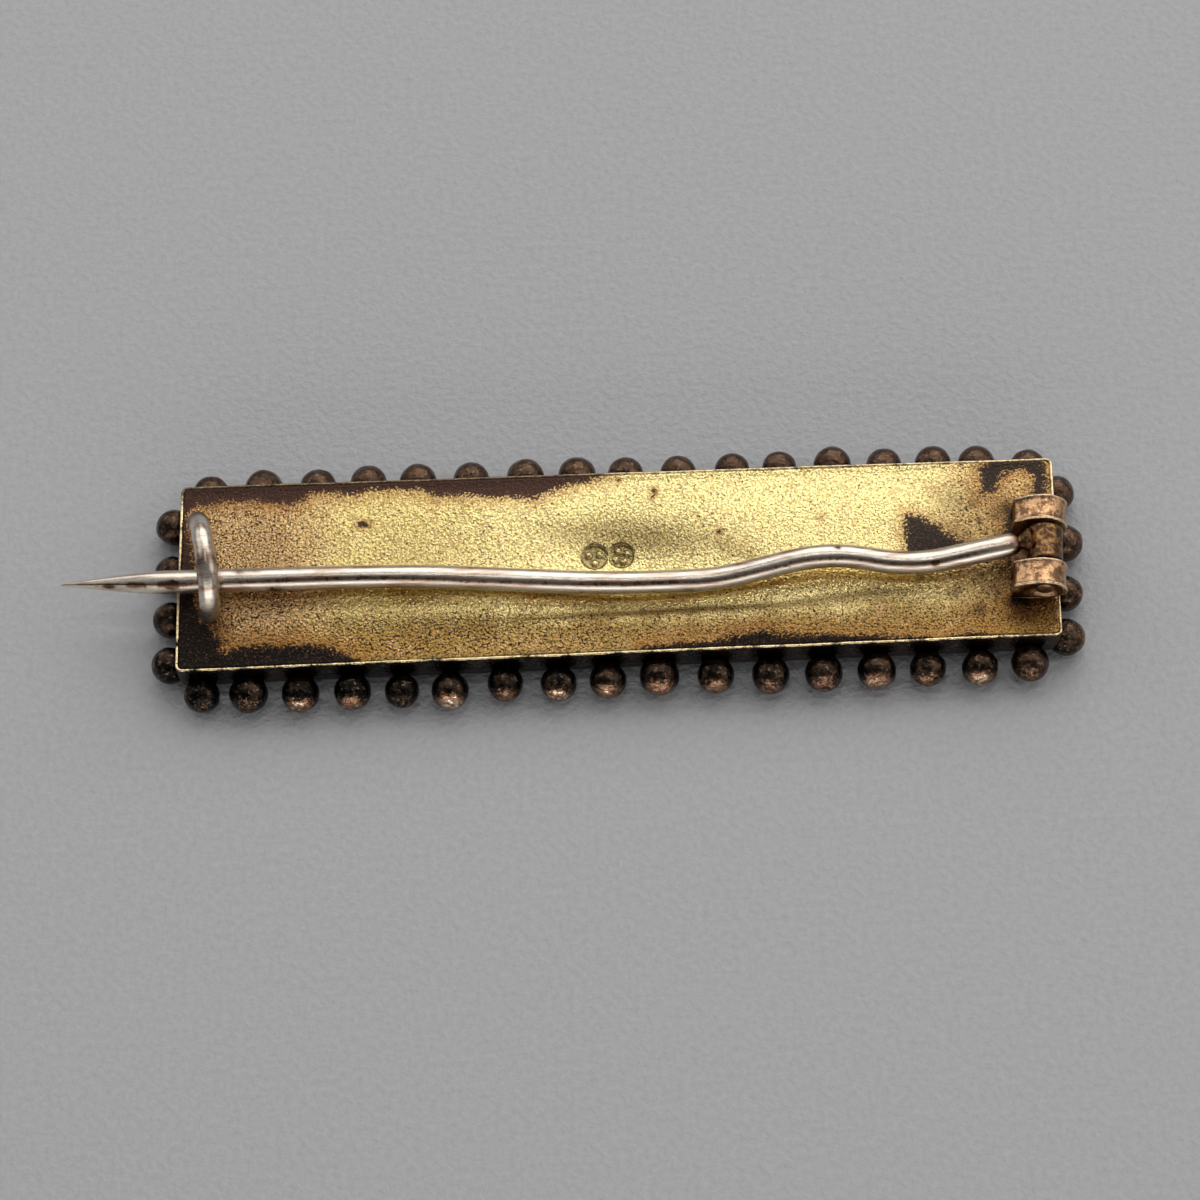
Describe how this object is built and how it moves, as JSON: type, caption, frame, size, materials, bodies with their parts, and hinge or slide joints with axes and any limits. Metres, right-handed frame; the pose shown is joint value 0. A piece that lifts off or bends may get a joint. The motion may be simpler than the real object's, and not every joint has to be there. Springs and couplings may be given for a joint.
{
  "type": "bar brooch",
  "caption": "Tapered bar brooch shown from the back: shallow case bordered with round grains, gilt back plate, hinged wavy pin and an open wire catch.",
  "frame": {"origin": "centre of the case, on the surface that the brooch lies on face down, touched by the undersides of the grains", "axes": "+X along the bar to the hinge end, +Y to the far long side of the pictured view, +Z out of the back plate"},
  "size_m": [0.0486, 0.013, 0.0056],
  "materials": {
    "oxidised_brass": "dark oxidised, worn to pale gold on the rim and on the grains' undersides",
    "gilt_brass": "gilt, finely pebbled, with dark tarnish at the edges",
    "nickel_silver": "worn polish",
    "copper_alloy": "satin, with bright worn lips",
    "dark_rivet": "dull",
    "worn_copper_alloy": "brown, worn"
  },
  "bodies": {
    "case": {"beaded_case": "oxidised_brass", "back_plate": "gilt_brass", "catch_hook": "nickel_silver", "hinge_bearer": "copper_alloy", "hinge_rivet": "dark_rivet"},
    "pin": {"pin_knuckle": "worn_copper_alloy", "pin_stem": "nickel_silver"}
  },
  "joints": [
    {"name": "pin_swing", "type": "hinge", "parent": "case", "child": "pin", "pos_m": [0.02037, 0, 0.00357], "axis": [0.0489, 0.9988, 0], "range_deg": [0, 180]}
  ]
}
